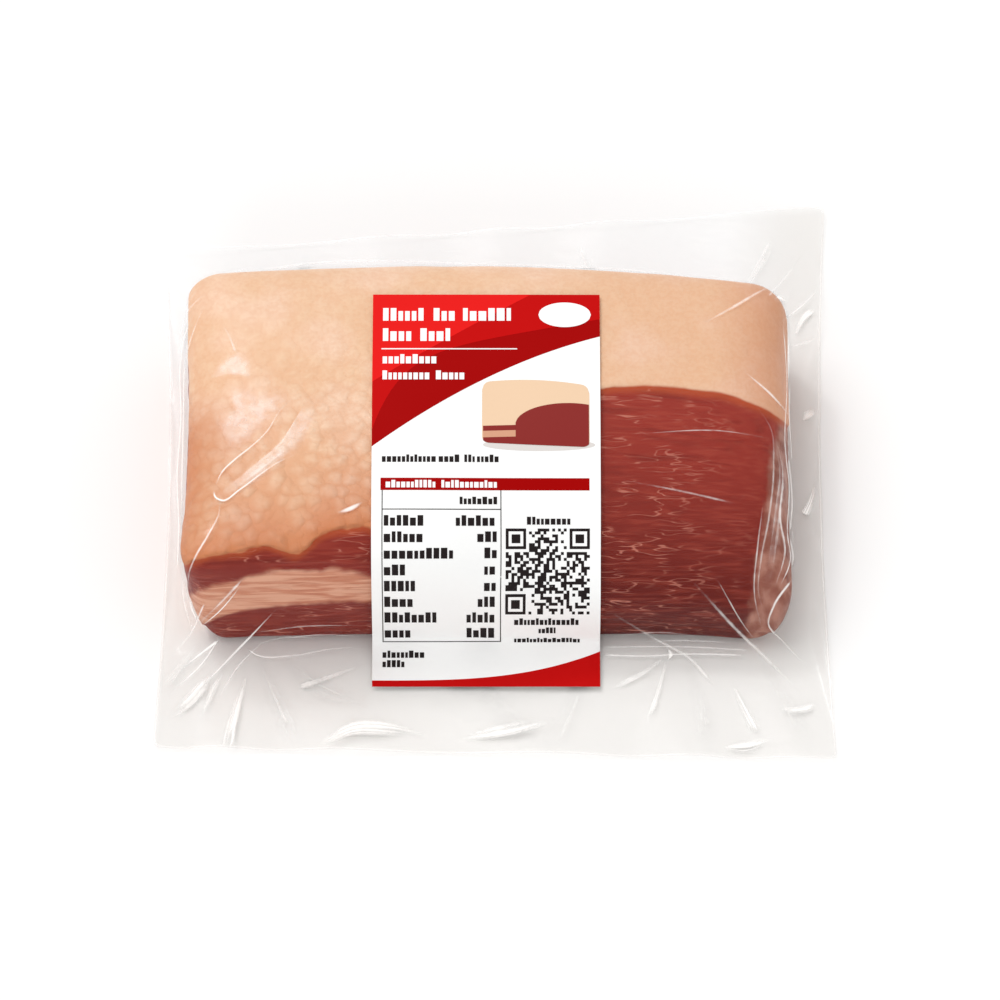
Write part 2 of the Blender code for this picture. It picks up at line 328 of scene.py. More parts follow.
class Shader:
    """A material's node tree, with a short call for each kind of node that the materials use."""

    def __init__(self, name):
        self.material = bpy.data.materials.new(name)
        self.material.use_nodes = True
        self.tree = self.material.node_tree
        self.tree.nodes.clear()
        self.surface = self.tree.nodes.new("ShaderNodeOutputMaterial").inputs["Surface"]

    def put(self, socket, value):
        """Links an output to a socket, or sets the socket's own value."""
        if isinstance(value, bpy.types.NodeSocket):
            self.tree.links.new(value, socket)
        elif isinstance(value, tuple) and len(value) == 3 and len(socket.default_value) == 4:
            socket.default_value = (*value, 1.0)
        else:
            socket.default_value = value

    def node(self, kind, settings=None, **values):
        """A node with its settings and its inputs, named with _ for a space."""
        made = self.tree.nodes.new(kind)
        for key, value in (settings or {}).items():
            setattr(made, key, value)
        for key, value in values.items():
            self.put(made.inputs[key.replace("_", " ")], value)
        return made

    def math(self, operation, first, second=0.0, clamp=False):
        made = self.tree.nodes.new("ShaderNodeMath")
        made.operation, made.use_clamp = operation, clamp
        self.put(made.inputs[0], first)
        self.put(made.inputs[1], second)
        return made.outputs[0]

    def mix(self, share, first, second, blend="MIX"):
        made = self.tree.nodes.new("ShaderNodeMix")
        made.data_type, made.blend_type = "RGBA", blend
        self.put(made.inputs[0], share)
        self.put(made.inputs[6], first)
        self.put(made.inputs[7], second)
        return made.outputs[2]

    def field(self, name):
        return self.node("ShaderNodeAttribute", {"attribute_name": name}).outputs["Fac"]

    def step(self, value, low, high):
        """0 below low, 1 above high, smooth between them."""
        made = self.tree.nodes.new("ShaderNodeMapRange")
        made.interpolation_type = "SMOOTHSTEP"
        self.put(made.inputs["Value"], value)
        self.put(made.inputs["From Min"], low)
        self.put(made.inputs["From Max"], high)
        return made.outputs["Result"]

    def place(self, scale, turn=(0.0, 0.0, 0.0)):
        """Object coordinates in millimetres, divided by a feature's size along each axis."""
        where = self.node("ShaderNodeTexCoord").outputs["Object"]
        sizes = tuple(1.0 / (size * MM) for size in scale)
        mapping = self.node("ShaderNodeMapping", Vector=where, Rotation=turn, Scale=sizes)
        return mapping.outputs["Vector"]

    def noise(self, size, detail=3.0, turn=(0.0, 0.0, 0.0), distortion=0.0, roughness=0.5):
        """Noise from 0 to 1 with features of this size in millimetres."""
        size = size if isinstance(size, tuple) else (size, size, size)
        where = self.place(size, turn)
        values = {"Vector": where, "Scale": 1.0, "Detail": detail, "Distortion": distortion}
        made = self.node("ShaderNodeTexNoise", None, **values)
        made.inputs["Roughness"].default_value = roughness
        return made.outputs["Fac"]

    def cells(self, size, distortion=0.0):
        """0 in the middle of rounded cells of this size in millimetres, and towards 1 at their borders."""
        where = self.place((size, size, size))
        if distortion:
            shift = self.node("ShaderNodeTexNoise", None, Vector=where, Scale=0.9, Detail=2.0).outputs["Color"]
            scaled = self.node("ShaderNodeVectorMath", {"operation": "SCALE"}, Scale=distortion)
            self.put(scaled.inputs[0], shift)
            moved = self.node("ShaderNodeVectorMath", {"operation": "ADD"})
            self.put(moved.inputs[0], where)
            self.put(moved.inputs[1], scaled.outputs[0])
            where = moved.outputs[0]
        made = self.node("ShaderNodeTexVoronoi", {"feature": "F1"}, Vector=where, Scale=1.0)
        return made.outputs["Distance"]

    def bump(self, height, distance, strength=1.0, normal=None):
        """A relief of this height in millimetres."""
        made = self.node("ShaderNodeBump", Height=height, Distance=distance * MM, Strength=strength)
        if normal is not None:
            self.put(made.inputs["Normal"], normal)
        return made.outputs["Normal"]

    def principled(self, **values):
        return self.node("ShaderNodeBsdfPrincipled", None, **values).outputs[0]

    def finish(self, shader):
        self.tree.links.new(shader, self.surface)
        return self.material


def meat_material():
    """Rind, fat and lean, told apart by the fields that the meat's mesh carries."""
    s = Shader("pork")
    wander = s.math("SUBTRACT", s.noise(7.0, detail=4.0), 0.5)
    raggedness = s.math("ADD", s.math("MULTIPLY", s.field("left"), 3.5), 0.6)
    rind = s.math("ADD", s.field("rind"), s.math("MULTIPLY", wander, raggedness))
    stripe = s.math("ADD", s.field("stripe"), s.math("MULTIPLY", wander, 0.35))
    side = s.math("ADD", s.field("side"), s.math("MULTIPLY", wander, 6.0))

    pebbles = s.cells(4.2, 0.9)
    pebble = s.field("pebble")
    broad = s.noise(24.0, detail=2.0)
    fine = s.noise(1.3, detail=3.0)
    # Painted shade: the rind is turned darker and more orange in the creases between its pebbles.
    crease_shade = s.math("MULTIPLY", s.step(pebbles, 0.22, 0.75), pebble)
    skin = s.mix(s.step(broad, 0.35, 0.65), RIND_COLOURS[0], RIND_COLOURS[1])
    skin = s.mix(s.math("MULTIPLY", crease_shade, 0.60), skin, RIND_COLOURS[2])
    skin = s.mix(s.math("MULTIPLY", s.step(fine, 0.58, 0.40), 0.15), skin, RIND_COLOURS[2])
    # Darker, more orange rind towards the front cut edge and the ends: partly painted shade of the rounded edges,
    # partly the rind's own warmer colour.
    skin = s.mix(s.field("rim_shade_and_warmth"), skin, RIND_COLOURS[3])

    turn = (0.0, 0.0, math.radians(4.0))
    fibres = s.noise((12.0, 1.1, 1.1), detail=2.0, turn=turn, distortion=0.5)
    strands = s.noise((26.0, 3.4, 3.4), detail=2.0, turn=turn, distortion=0.9)
    # Painted shade: the lean darkens towards its second colour lower down the front face, by the field named depth.
    lean = s.mix(s.field("depth"), LEAN_COLOURS[0], LEAN_COLOURS[1])
    lean = s.mix(s.math("MULTIPLY", s.step(fibres, 0.46, 0.66), 0.24), lean, LEAN_COLOURS[2])
    lean = s.mix(s.math("MULTIPLY", s.step(strands, 0.50, 0.30), 0.32), lean, LEAN_COLOURS[3])
    # Pale wavy lines on the lean: partly its membranes, partly painted highlights of the film's small wrinkles.
    crossing = (0.0, 0.0, math.radians(-10.0))
    membrane_glint_lines = s.noise((11.0, 1.9, 1.9), detail=1.0, turn=crossing, distortion=0.25)
    membrane_glint_lines = s.step(s.math("ABSOLUTE", s.math("SUBTRACT", membrane_glint_lines, 0.5)), 0.030, 0.006)
    patches = s.step(s.noise((12.0, 5.0, 5.0), detail=2.0), 0.44, 0.60)
    membrane_and_glint = s.math("MULTIPLY", membrane_glint_lines, s.math("MULTIPLY", patches, s.field("membrane_glint_share")))
    lean = s.mix(s.math("MULTIPLY", membrane_and_glint, 0.55), lean, LEAN_COLOURS[4])
    layers = s.noise((20.0, 20.0, 2.2), detail=3.0, distortion=0.7)
    fat = s.mix(s.step(layers, 0.40, 0.60), FAT_COLOURS[0], FAT_COLOURS[1])
    fat = s.mix(s.math("MULTIPLY", s.step(layers, 0.40, 0.30), 0.6), fat, FAT_COLOURS[2])
    side_tone = s.mix(s.step(s.noise((6.0, 6.0, 14.0), detail=3.0), 0.4, 0.62), SIDE_COLOURS[0], SIDE_COLOURS[1])

    is_fat = s.math("MULTIPLY", s.step(stripe, 0.90, 1.10), s.step(stripe, 2.10, 1.90))
    is_fat = s.math("MULTIPLY", is_fat, s.field("fatty"))
    inner = s.mix(is_fat, lean, fat)
    inner = s.mix(s.step(side, -1.0, 2.0), inner, side_tone)
    seam = s.math("MULTIPLY", s.step(rind, -3.2, -0.1), s.step(rind, 0.9, -0.1))
    inner = s.mix(s.math("MULTIPLY", seam, 0.55), inner, SEAM_COLOUR)
    colour = s.mix(s.step(rind, -0.35, 0.35), inner, skin)

    in_rind = s.step(rind, -0.5, 0.5)
    domes = s.math("MULTIPLY", s.math("SUBTRACT", 1.0, pebbles), s.math("MULTIPLY", pebble, in_rind))
    grain = s.math("ADD", s.math("MULTIPLY", fibres, 0.6), s.math("MULTIPLY", membrane_and_glint, 0.5))
    normal = s.bump(domes, 1.3, 0.9)
    normal = s.bump(s.math("MULTIPLY", fine, in_rind), 0.16, 0.7, normal)
    normal = s.bump(s.math("MULTIPLY", grain, s.math("SUBTRACT", 1.0, in_rind)), 0.34, 0.7, normal)
    values = {"Base_Color": colour, "Roughness": 0.55, "Specular_IOR_Level": 0.12, "Normal": normal}
    return s.finish(s.principled(**values))


def film_material():
    """Clear glossy film: it lets the meat show, takes a grey tone where it is loose, darker away from the light as
    painted shade, and whitens along a fold as a painted highlight.
    """
    s = Shader("pouch_film")
    # The film's grey: partly its own slight grey, partly painted shade at the front and right, away from the light.
    tint = s.mix(s.field("tone"), (1.0, 1.0, 1.0), (0.95, 0.94, 0.928))
    clear = s.node("ShaderNodeBsdfTransparent", None, Color=tint).outputs[0]
    blotches = s.noise(3.0, detail=2.0)
    crinkle = s.noise((11.0, 4.0, 4.0), detail=2.0, turn=(0.0, 0.0, math.radians(-35.0)), distortion=0.6)
    normal = s.bump(s.math("MULTIPLY", crinkle, s.field("slack")), 0.5, 0.6)
    haze = s.field("haze")
    feathered = s.math("ADD", haze, s.math("MULTIPLY", s.math("SUBTRACT", blotches, 0.5), 0.6))
    # White where the film is faintly hazy in the margin, and as painted highlights along its folds, sheens and weld.
    whitened = s.math("MULTIPLY", s.step(feathered, 0.02, 0.62), haze, clamp=True)
    # The white glows a little, brighter than the lit floor: painted highlight.
    glow = {"Emission_Color": (1.0, 0.97, 0.93), "Emission_Strength": 0.22}
    white = s.principled(Base_Color=(0.98, 0.965, 0.94), Roughness=0.5, Specular_IOR_Level=0.1, **glow)
    body = s.node("ShaderNodeMixShader", None, Fac=whitened)
    s.put(body.inputs[1], clear)
    s.put(body.inputs[2], white)
    gloss = s.node("ShaderNodeBsdfGlossy", None, Color=(1.0, 1.0, 1.0), Roughness=0.12, Normal=normal)
    share = s.node("ShaderNodeFresnel", None, IOR=1.19, Normal=normal).outputs[0]
    both = s.node("ShaderNodeMixShader", None, Fac=s.math("MINIMUM", share, 0.07))
    s.put(both.inputs[1], body.outputs[0])
    s.put(both.inputs[2], gloss.outputs[0])
    return s.finish(both.outputs[0])


def plain_material(name, colour, roughness=0.5, mottle=0.02):
    """One colour, with a trace of unevenness."""
    s = Shader(name)
    grain = s.noise(1.5, detail=2.0)
    darker = tuple(part * (1.0 - mottle) for part in colour)
    shade = s.mix(grain, darker, colour)
    return s.finish(s.principled(Base_Color=shade, Roughness=roughness, Specular_IOR_Level=0.05))


# ---------------------------------------------------------------- the meat

# The rind's front edge, then the arc over the bare muscle, as seen: millimetres to the right and up.
RIND_EDGE = curve_through(
    (
        (-100, -28), (-95, -26), (-83, -22.9), (-71, -20.7), (-59, -21.7), (-55, -18), (-49, -15.2), (-39, -14.7),
        (-33, -17), (-27.8, -21), (-20, -10), (-5, 8.7), (10, 19.5), (27.5, 27.6), (44, 29.6), (58, 28.9),
        (77, 25.4), (91.5, 17.5), (100, 8),
    )
)
# The heights on the front face where the fat stripe ends and begins, along the front.
FAT_TOP = curve_through(((-100, 22), (-94, 25.3), (-83, 31.6), (-71, 37.5), (-39, 36), (-10, 30), (20, 15), (100, 3)))
FAT_FOOT = curve_through(((-100, 5), (-94, 7.4), (-83, 14.7), (-71, 18.5), (-39, 22), (-10, 19), (20, 14.9), (100, 2.9)))
FRONT_Y, BACK_Y, LEFT_X, RIGHT_X = -61.2, 55.0, -98.0, 95.0
SLANT = math.tan(SEEN_FROM_ELEVATION)


def stripe_number(height, foot, top, rind):
    """0 to 1 in the lower lean, 1 to 2 in the fat stripe, 2 to 3 in the upper lean, and over 3 in the rind."""
    fat = np.maximum(top - foot, 0.05)
    lean = np.maximum(rind - top, 0.05)
    number = np.clip(height / foot, -1.0, 1.0)
    number += np.clip((height - foot) / fat, 0.0, 1.0)
    number += np.clip((height - top) / lean, 0.0, 1.0)
    return number + np.clip((height - rind) / 10.0, 0.0, 10.0)


def meat_fields(points):
    """For each point: millimetres into the rind, the stripe's number, and millimetres into the right side's fat."""
    x, y, z = points.T / MM
    across, up = seen(points)
    wave = 2.0 * noise(points, 22.0 * MM, 5)
    edge = RIND_EDGE(across)
    front = z + SLANT * (y - FRONT_Y)
    front_rind = (edge + math.sin(SEEN_FROM_ELEVATION) * -FRONT_Y) / math.cos(SEEN_FROM_ELEVATION)
    left = z + SLANT * (x - LEFT_X)
    back = z + SLANT * (BACK_Y - y)
    right = z + SLANT * (RIGHT_X - x)
    rinds = (front - front_rind, left - 41.0 - wave, back - 42.0 - wave, right - 26.0 - wave)
    stripes = (
        stripe_number(front, FAT_FOOT(across), FAT_TOP(across), front_rind),
        stripe_number(left, 8.0 + wave, 24.0 + 2.0 * wave, 41.0 + wave),
        stripe_number(back, 16.0 + wave, 30.0 + wave, 42.0 + wave),
        stripe_number(right, 3.0 + wave, 24.0 + wave, 26.0 + wave),
    )
    side = np.where(x > 60.0, across - (77.3 + 0.16 * (up + 50.3)), -20.0)
    return np.minimum.reduce(rinds) * math.cos(SEEN_FROM_ELEVATION), np.minimum.reduce(stripes), side


def meat_mesh():
    """The slab of meat: a lofted body, remeshed into even cells, with its relief pushed in and out."""
    feet = slab_plan(MEAT_INSET)
    height = SLAB_HEIGHT - MEAT_INSET
    rings = slab_rings(feet, 50, np.linspace(0.95, 0.0, 34), height)
    rings = [np.where(ring[:, 2:] < 0.5 * MM, ring * (1, 1, 0) + (0, 0, 0.5 * MM), ring) for ring in rings]
    for ring in rings:
        low = np.clip(1.0 - ring[:, 2] / MEAT_FOOT_ROUND, 0.0, 1.0)
        shrink = MEAT_FOOT_ROUND * (1.0 - np.sqrt(1.0 - low * low))
        middle = ring[:, :2] - SLAB_CENTRE
        away = middle / np.linalg.norm(middle, axis=1, keepdims=True)
        ring[:, :2] -= away * np.where(ring[:, 2] < MEAT_FOOT_ROUND, shrink, 0.0)[:, None]
    crown = slab_point(np.zeros((1, 2)), 0.0, 1.0, height)[0]
    body = add_object("meat_body", ring_mesh("meat_body", rings, crown, sole=True))
    remesh = body.modifiers.new("even_cells", "REMESH")
    remesh.mode = "VOXEL"
    remesh.voxel_size = MEAT_CELL
    relax = body.modifiers.new("relax", "SMOOTH")
    relax.iterations = 12
    mesh = evaluated_mesh(body)
    bpy.data.objects.remove(body)

    points, facing = coordinates(mesh), normals(mesh)
    rind, stripe, side = meat_fields(points)
    across, up = seen(points)
    in_rind = smooth(-0.8, 0.8, rind)
    on_left = smooth(60.0, -20.0, across)
    near_front = smooth(55.0, -15.0, up)
    pebble = in_rind * (0.14 + 0.86 * on_left * (0.08 + 0.92 * near_front))
    lean = np.maximum(smooth(1.0, 0.85, stripe), smooth(2.0, 2.15, stripe)) * (1.0 - in_rind)
    push = BROAD_SWELL / MM * noise(points, 26.0 * MM, 1)
    push += 0.30 * pebble * noise(points, 5.0 * MM, 2)
    push += 0.25 * (1.0 - in_rind) * noise(points, (17.0 * MM, 4.0 * MM, 4.0 * MM), 3)
    push -= 0.7 * lean
    push += 0.2 * in_rind * smooth(9.0, 1.0, rind)
    moved = points + facing * (push * MM)[:, None]
    moved[:, 2] = np.maximum(moved[:, 2], MEAT_LOWEST)
    set_coordinates(mesh, moved)
    mesh.shade_smooth()
    set_field(mesh, "rind", rind)
    set_field(mesh, "stripe", stripe)
    set_field(mesh, "side", side)
    set_field(mesh, "left", on_left)
    # Painted shade of the rounded rim and ends, with the rind's own warmer colour near the cut: darker and more orange
    # there.
    towards_cut = np.clip(1.0 - np.abs(rind) / 40.0, 0.0, 1.0) ** 2 * on_left * smooth(34.0, 10.0, up)
    towards_right = 0.14 * smooth(0.0, 60.0, across) + 0.40 * smooth(64.0, 92.0, across)
    towards_left = 0.10 * smooth(-84.0, -98.0, across)
    set_field(mesh, "rim_shade_and_warmth", 0.06 + np.maximum.reduce((0.86 * towards_cut, towards_right, towards_left)))
    # Where the pale lines show, partly membranes and partly painted highlights: most at the left.
    set_field(mesh, "membrane_glint_share", smooth(95.0, 35.0, across))
    set_field(mesh, "fatty", 1.0 - smooth(8.0, 18.0, across) * smooth(-20.0, -40.0, points[:, 1] / MM))
    set_field(mesh, "pebble", pebble)
    # Painted shade: the field named depth grows lower down the front face, less at the left, and darkens the lean
    # there.
    under_muscle = 0.45 + 0.55 * smooth(-30.0, 30.0, across)
    set_field(mesh, "depth", smooth(26.0, -50.0, up + 0.06 * across) * under_muscle)
    return mesh


# ---------------------------------------------------------------- the film


def ripple(along, out_share):
    """How high the margin lifts off the table: nothing at the slab's foot, most at the pouch's edge."""
    turn = 2.0 * math.pi * along / RIPPLE_LENGTH
    wave = 0.5 + 0.5 * np.sin(turn + RIPPLE_WANDER * np.sin(turn / 3.7))
    return RIPPLE_HEIGHT * wave * smooth(0.0, 1.0, out_share)


MARGIN_RINGS = 34
FILM_LEAVES_AT = 7.0 * MM
FILM_LANDS_AT = 7.0 * MM


def film_rings():
    """Rings of the upper sheet from the top's middle to the pouch's edge, and those of its margin alone."""
    feet, edge = slab_plan(), pouch_plan()
    leave = FILM_LEAVES_AT / SLAB_HEIGHT
    rings = slab_rings(feet, 44, np.linspace(0.95, leave, 26))
    lengths = np.linalg.norm(np.diff(edge, axis=0, append=edge[:1]), axis=1)
    along = np.concatenate([[0.0], np.cumsum(lengths)[:-1]])
    start = rings[-1]
    heel = feet + SLAB_CENTRE
    away = edge - heel
    distance = np.linalg.norm(away, axis=1, keepdims=True)
    land = heel + away / distance * np.minimum(FILM_LANDS_AT, 0.5 * distance)
    low = np.full(len(feet), 0.9 * MM)
    landing = np.column_stack((land, low))
    pull = start + 0.75 * (np.column_stack((heel, low)) - start)
    for share in np.linspace(0.0, 1.0, 9)[1:]:
        first, second = start + (pull - start) * share, pull + (landing - pull) * share
        rings.append(first + (second - first) * share)
    margin = []
    for share in np.linspace(0.0, 1.0, MARGIN_RINGS + 1)[1:]:
        plan = land + (edge - land) * share
        margin.append(np.column_stack((plan, ripple(along, share) + (0.9 - 0.2 * share) * MM)))
    return rings, margin


def film_meshes():
    """The upper sheet, smooth, and the lower sheet under the slab and its margin."""
    rings, margin = film_rings()
    crown = slab_point(np.zeros((1, 2)), 0.0, 1.0)[0]
    upper = ring_mesh("film_upper", rings + margin, crown)
    points = coordinates(upper)
    swell = BROAD_SWELL * noise(points, 26.0 * MM, 1) * smooth(3.0 * MM, 12.0 * MM, points[:, 2])
    set_coordinates(upper, points + normals(upper) * swell[:, None])
    lower_rings = []
    for share in np.linspace(0.0, 1.0, 12)[1:]:
        flat = (rings[-1][:, :2] - SLAB_CENTRE) * share + SLAB_CENTRE
        lower_rings.append(np.column_stack((flat, np.full(len(flat), 0.15 * MM))))
    for ring in margin:
        lower_rings.append(ring - (0.0, 0.0, 0.55 * MM))
    centre = np.array((*SLAB_CENTRE, 0.15 * MM))
    lower = ring_mesh("film_lower", lower_rings, centre)
    return upper, lower, margin[-1]


# The folds of the film as seen, in millimetres to the right and up: their course, width, whiteness and swelling. The
# whiteness is a painted highlight along the fold.
FOLDS = (
    # The tuck over the rind at the left, and its tail down to the corner.
    (((-62, 26.5), (-67, 21.5), (-70.5, 15.5), (-75.5, 10.5), (-80.5, 6.5), (-84.5, 2.5), (-87, -3)), 0.9, 0.75, "end"),
    (((-87, -3), (-86.5, -5.2), (-84.5, -6.3), (-79, -3), (-73, 1.5), (-68, 5), (-61, 8.5)), 0.9, 0.85, "start"),
    (((-85, -5.5), (-85.2, -10), (-88.5, -17), (-92.5, -24), (-94.5, -29), (-95, -34.5)), 1.0, 0.6, "spindle"),
    (((-81, -3), (-73.5, 3), (-66, 9), (-58, 17)), 2.6, 0.40, "spindle"),
    (((-81, 40), (-83, 45), (-86, 50)), 1.4, 0.45, "start"),
    (((-95, 54), (-98.6, 47), (-100, 38), (-99.4, 20), (-100.2, 2), (-99.3, -16), (-99.6, -30)), 0.7, 0.6, "flat"),
    (((-48.5, -10), (-45, -9), (-41, -6.8)), 2.0, 0.75, "spindle"),
    (((-93, 56), (-96, 49), (-98.2, 39), (-98.6, 19), (-98.6, 0), (-98.2, -18), (-97.5, -28)), 0.7, 0.6, "spindle"),
    (((-91, 55), (-94, 48), (-96.3, 40), (-96.8, 28)), 0.6, 0.5, "spindle"),
    # The lower left corner.
    (((-92.5, -45), (-85.5, -38.3), (-77.5, -30)), 1.6, 0.6, "end"),
    (((-92, -46), (-85, -40), (-78.5, -32.5)), 0.6, 0.8, "spindle"),
    (((-86.5, -50), (-93.5, -55.5), (-98, -59)), 1.2, 0.9, "start"),
    (((-68, -40), (-78, -50.5), (-89, -62), (-93, -66)), 1.0, 0.75, "spindle"),
    (((-77.5, -52), (-75, -54), (-63, -54.6), (-51, -52.6), (-38.5, -51.8)), 0.7, 0.7, "start"),
    (((-75, -51.3), (-65.5, -48.8), (-55, -49)), 0.6, 0.45, "spindle"),
    (((-88, -60), (-94.5, -68), (-101, -74)), 5.5, 0.75, "spindle"),
    (((-77.5, -61), (-80.5, -72), (-83.5, -85)), 5.5, 0.9, "end"),
    (((-84, -58), (-88, -66), (-92, -77)), 3.0, 0.5, "spindle"),
    (((-61, -64.5), (-52, -61.5), (-40, -57)), 2.6, 0.85, "start"),
    (((-54, -82), (-44, -77), (-33, -77), (-22, -79)), 6.0, 0.8, "spindle"),
    (((-10, -80), (4, -77.5), (19, -74)), 5.0, 0.75, "spindle"),
    # The muscle and the lower right.
    (((40, 0), (56, -3), (75, -7.3)), 1.3, 0.5, "end"),
    (((44, 14.5), (71, 15.3), (86, 13)), 0.6, 0.45, "spindle"),
    (((62, -32), (72, -43), (84.5, -55.5), (95, -66)), 1.8, 0.50, "spindle"),
    (((68.5, -30), (77.5, -45), (82, -51)), 0.6, 0.55, "spindle"),
    (((37, -41.5), (52.5, -50.8), (60, -55), (69, -65)), 1.9, 0.6, "end"),
    (((54, -54.3), (46, -60), (36, -65)), 2.8, 0.9, "end"),
    (((53.7, -55), (50.7, -66), (47, -76)), 2.8, 0.95, "end"),
    (((54, -52.5), (54.9, -54.3), (54, -56)), 1.6, 0.9, "spindle"),
    (((74, -64), (77.5, -71), (82, -80)), 4.5, 1.0, "end"),
    (((71, -83), (79, -82.5), (86, -80)), 4.5, 0.75, "spindle"),
    (((88, -71), (94.5, -71.3), (101, -69.5)), 4.0, 0.75, "end"),
    (((97.5, 19), (99.5, 21), (101.5, 23)), 3.4, 1.1, "spindle"),
    (((97.3, -11), (99.3, -7), (101.3, 0)), 3.4, 1.1, "start"),
    (((92.8, 57), (93.2, 38), (92, 22), (92.6, 8), (93.4, -8), (92.6, -18), (93.4, -24), (92, -31)), 0.8, 0.75, "flat"),
    (((92, -31), (86.5, -39), (85, -44), (90.5, -51), (98, -59)), 1.2, 0.7, "start"),
    (((90.6, 50), (91.4, 30), (90.4, 12), (91.6, -4), (90.8, -16), (91.6, -25), (88, -34)), 0.6, 0.6, "flat"),
    (((81, 24), (86, 16), (86.7, 4.5), (85, -12), (82.5, -25), (81.8, -35), (85, -44)), 1.0, 0.45, "spindle"),
    (((78, 34), (86, 27), (92.4, 20)), 1.1, 0.6, "spindle"),
    (((87, 14), (89.2, 4), (88, -10), (86, -24), (83.5, -38)), 4.5, 0.42, "spindle"),
    (((90.2, 2), (88.6, -12), (90, -22), (86.6, -34)), 1.0, 0.55, "spindle"),
    (((83.5, -6), (81.6, -20), (80.6, -36), (83, -46)), 0.8, 0.5, "spindle"),
    (((33, -54.4), (46, -54.8), (60, -54.2), (78, -54.5)), 0.8, 0.6, "flat"),
    (((33, -52), (61.5, -52), (80, -53)), 0.6, 0.5, "flat"),
    (((-96, -30), (-94.5, -40), (-90, -48)), 0.8, 0.6, "spindle"),
    (((-98, -24), (-97, -38), (-93, -50)), 0.6, 0.5, "spindle"),
    (((-90, -38), (-95, -48), (-101, -55)), 0.9, 0.6, "start"),
    (((-84, -46), (-92, -58), (-101, -66)), 0.9, 0.6, "spindle"),
    (((-72, -50), (-80, -58), (-86, -68)), 0.8, 0.55, "spindle"),
    (((-76, -47.5), (-60, -45.3), (-42, -45)), 0.6, 0.45, "spindle"),
    (((-70, -50), (-56, -48), (-40, -48.5)), 0.6, 0.45, "spindle"),
    (((36, -48.5), (52, -47.2), (66, -48.8)), 0.6, 0.40, "spindle"),
    (((42, -50.6), (60, -49.8), (78, -50.8)), 0.7, 0.45, "spindle"),
    # The broad soft folds that fan out over the front margin, drawn flat as painted highlights.
    (((-74, -55), (-68, -68), (-60, -84)), 9.0, 0.45, "end"),
    (((-66, -56), (-52, -66), (-38, -70)), 7.0, 0.40, "spindle"),
    (((-92, -50), (-99, -60), (-104, -66)), 6.0, 0.45, "end"),
    (((-20, -60), (-4, -66), (14, -84)), 9.0, 0.30, "end"),
    (((60, -58), (64, -70), (66, -84)), 8.0, 0.40, "end"),
    (((84, -58), (92, -72), (98, -84)), 8.0, 0.40, "end"),
    (((28, -58), (24, -70), (16, -84)), 9.0, 0.35, "end"),
    # The top right corner.
    (((65, 49), (75, 54.5), (84.5, 60), (89, 62)), 1.4, 0.5, "spindle"),
    (((86, 58), (92, 64), (98, 72)), 1.3, 0.45, "start"),
    (((90, 50), (97, 55), (104, 62)), 1.1, 0.5, "spindle"),
    (((92, 42), (99, 44), (104, 46)), 0.9, 0.4, "spindle"),
    # The film that leaves the slab's top edge, and its top left corner.
    (((-92, 63.2), (-68, 68.4), (0, 69.2), (64, 64.8), (84, 60.8)), 0.7, 0.45, "flat"),
    (((-98, 43), (-97, 52), (-91, 59)), 0.7, 0.5, "spindle"),
    (((-100, 37), (-99.4, 50), (-93, 61)), 0.7, 0.45, "spindle"),
    (((95.5, 46), (98.5, 52), (103, 56)), 3.4, 0.9, "end"),
    (((88, 57), (90.5, 58.5), (93, 57)), 1.6, 0.7, "spindle"),
)
# The folds of the back, in the same way, with up and down as seen from behind and above.
BACK_FOLDS = (
    (((-90, -49.5), (-50, -51.5), (0, -52.5), (50, -51.5), (88, -49.5)), 0.8, 0.55, "flat"),
    (((-84, -24), (-88, -36), (-95, -58)), 1.2, 0.45, "spindle"),
    (((-75, -38), (-79, -47), (-85, -60)), 1.0, 0.40, "spindle"),
    (((-56, -21), (-45, -28), (-38, -41)), 0.8, 0.28, "spindle"),
    (((-22, -40), (-15, -45), (-12, -56)), 0.9, 0.38, "spindle"),
    (((6, -20), (24, -25), (43, -26)), 0.8, 0.28, "spindle"),
    (((31, -43), (28, -49), (23, -61)), 1.0, 0.38, "spindle"),
    (((57, -33), (65, -41), (73, -58)), 1.1, 0.38, "spindle"),
    (((82, -24), (87, -36), (95, -60)), 1.2, 0.45, "spindle"),
    (((-66, -54), (-62, -64), (-60, -72)), 5.0, 0.50, "end"),
    (((34, -55), (30, -66), (27, -76)), 5.5, 0.45, "end"),
    (((76, -54), (84, -66), (90, -76)), 5.0, 0.50, "end"),
)
# Multiplied into a direction that is in front and above, these give the one in front or its mirror image behind.
FRONT, BACK = np.array((1.0, 1.0, 1.0)), np.array((1.0, -1.0, 1.0))
# Broad soft sheens on the rind's film, painted as white highlights, as seen: their outline and whiteness.
SHEENS = (
    (((-89, 32), (-85.5, 37.4), (-79, 40.6), (-75.7, 36), (-76.4, 32), (-82.4, 32.7)), 0.42),
    (((-83, 29), (-77, 29.4), (-64.5, 27), (-66, 22), (-74, 14), (-80.5, 8), (-84, 11), (-87, 18), (-82, 22)), 0.40),
    (((-85.5, -5), (-77, 3), (-69, 9.7), (-62.5, 17.5), (-58.5, 24.5), (-53.5, 24), (-57, 15), (-64, 7), (-76, -2)), 0.40),
)


# How a fold swells along its course, as a share of its full size.
SWELLINGS = {
    "spindle": lambda share: np.sin(math.pi * np.clip(share, 0.03, 0.97)),
    "start": lambda share: smooth(0.0, 0.06, share) * (1.0 - share) ** 0.7,
    "end": lambda share: smooth(1.0, 0.80, share) * share**0.7,
    "flat": lambda share: smooth(0.0, 0.08, share) * smooth(1.0, 0.92, share),
}
BROAD_FOLD = 2.2
MOST_WIDENING = 1.75
LONGEST_STEP = 5.0 * MM


